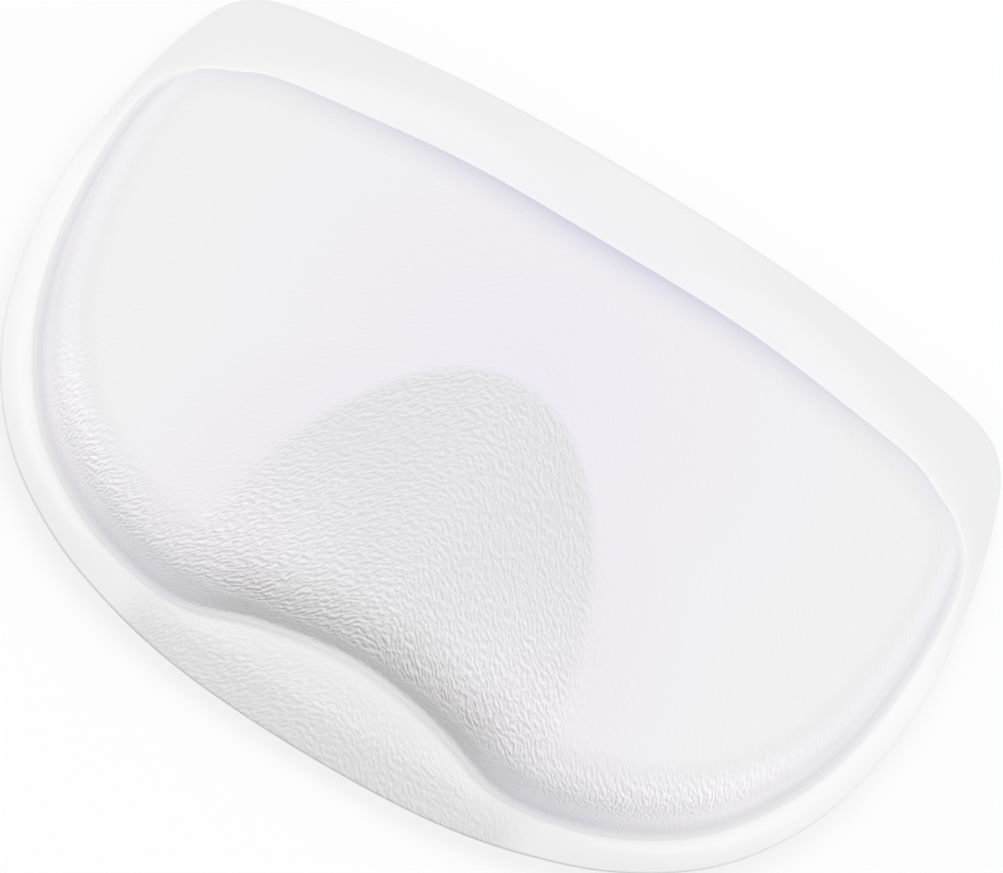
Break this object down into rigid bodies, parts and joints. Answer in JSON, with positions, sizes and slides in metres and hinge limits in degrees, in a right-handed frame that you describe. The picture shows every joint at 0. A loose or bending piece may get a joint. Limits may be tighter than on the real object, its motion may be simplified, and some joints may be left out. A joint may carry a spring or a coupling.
{
  "type": "bath pillow",
  "caption": "Moulded bath pillow with a head scoop, a neck notch, a flat welded rim and swivelling suction cups on its back.",
  "frame": {"origin": "on the surface that the suction cups stick to, below the middle of the pillow's outline", "axes": "+X along the width, +Y towards the long upper edge, +Z out of the face that the head lies on"},
  "size_m": [0.35, 0.24, 0.0537],
  "materials": {
    "embossed_vinyl": "white polyurethane leathercloth with a fine leather grain, satin",
    "foam": "open-cell polyurethane foam, off-white and matte",
    "back_vinyl": "white vinyl sheet, smooth and matte",
    "patch_vinyl": "white vinyl sheet, satin, pressed at the weld",
    "clear_vinyl": "clear soft vinyl, glossy"
  },
  "bodies": {
    "pillow": {"front_cover": "embossed_vinyl", "foam_core": "foam", "back_cover": "back_vinyl", "cup_patch_upper_left": "patch_vinyl", "cup_patch_upper_right": "patch_vinyl", "cup_patch_lower_left": "patch_vinyl", "cup_patch_lower_right": "patch_vinyl"},
    "cup_upper_left": {"suction_cup_upper_left": "clear_vinyl"},
    "cup_upper_right": {"suction_cup_upper_right": "clear_vinyl"},
    "cup_lower_left": {"suction_cup_lower_left": "clear_vinyl"},
    "cup_lower_right": {"suction_cup_lower_right": "clear_vinyl"}
  },
  "joints": [
    {"name": "cup_swivel_upper_left", "type": "hinge", "parent": "pillow", "child": "cup_upper_left", "pos_m": [-0.1122, 0.03851, 0.011], "axis": [0, 0, 1], "continuous": true},
    {"name": "cup_swivel_upper_right", "type": "hinge", "parent": "pillow", "child": "cup_upper_right", "pos_m": [0.1122, 0.03851, 0.011], "axis": [0, 0, 1], "continuous": true},
    {"name": "cup_swivel_lower_left", "type": "hinge", "parent": "pillow", "child": "cup_lower_left", "pos_m": [-0.0924, -0.05312, 0.011], "axis": [0, 0, 1], "continuous": true},
    {"name": "cup_swivel_lower_right", "type": "hinge", "parent": "pillow", "child": "cup_lower_right", "pos_m": [0.0924, -0.05312, 0.011], "axis": [0, 0, 1], "continuous": true}
  ]
}
